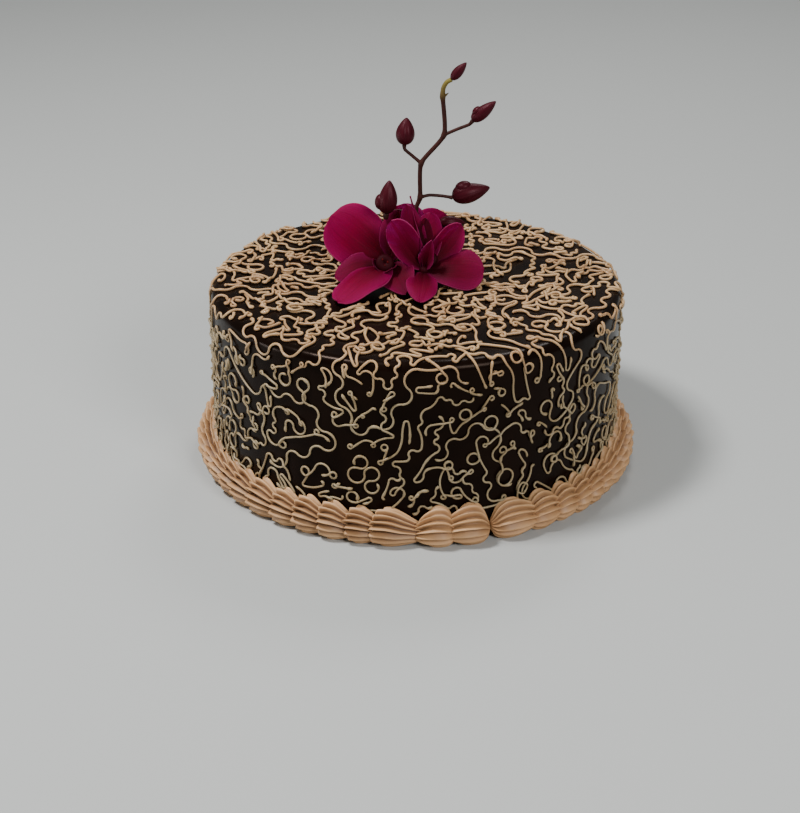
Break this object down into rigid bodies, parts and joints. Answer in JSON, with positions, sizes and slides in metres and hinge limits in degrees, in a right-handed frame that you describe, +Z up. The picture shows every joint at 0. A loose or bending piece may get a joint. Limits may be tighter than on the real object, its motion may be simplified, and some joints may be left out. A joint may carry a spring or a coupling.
{
  "type": "layer cake",
  "caption": "Round layer cake under dark chocolate glaze with piped tan buttercream strings, a shell border at its foot and a spray of magenta orchids on top.",
  "frame": {"origin": "centre of the cake's flat base, on the surface it stands on", "axes": "+Z up; the front of the cake, as pictured, looks along -Y, with +X to the viewer's right"},
  "size_m": [0.2316, 0.2316, 0.2061],
  "materials": {
    "chocolate_glaze": "near-black chocolate glaze with a soft shine",
    "tan_buttercream": "pale tan buttercream, satin",
    "orchid_petal": "velvety magenta petal",
    "orchid_bud": "dark maroon bud with a faint sheen",
    "orchid_stem": "dark brown-purple flower stem"
  },
  "bodies": {
    "root": {"cake": "chocolate_glaze", "shell_border": "tan_buttercream", "orchid_left": "orchid_petal", "orchid_right": "orchid_petal", "orchid_back": "orchid_petal", "spray_stem": "orchid_stem", "bud_top": "orchid_bud", "bud_upper_right": "orchid_bud", "bud_upper_left": "orchid_bud", "bud_right": "orchid_bud", "bud_left": "orchid_bud", "bud_low": "orchid_bud"}
  },
  "joints": []
}
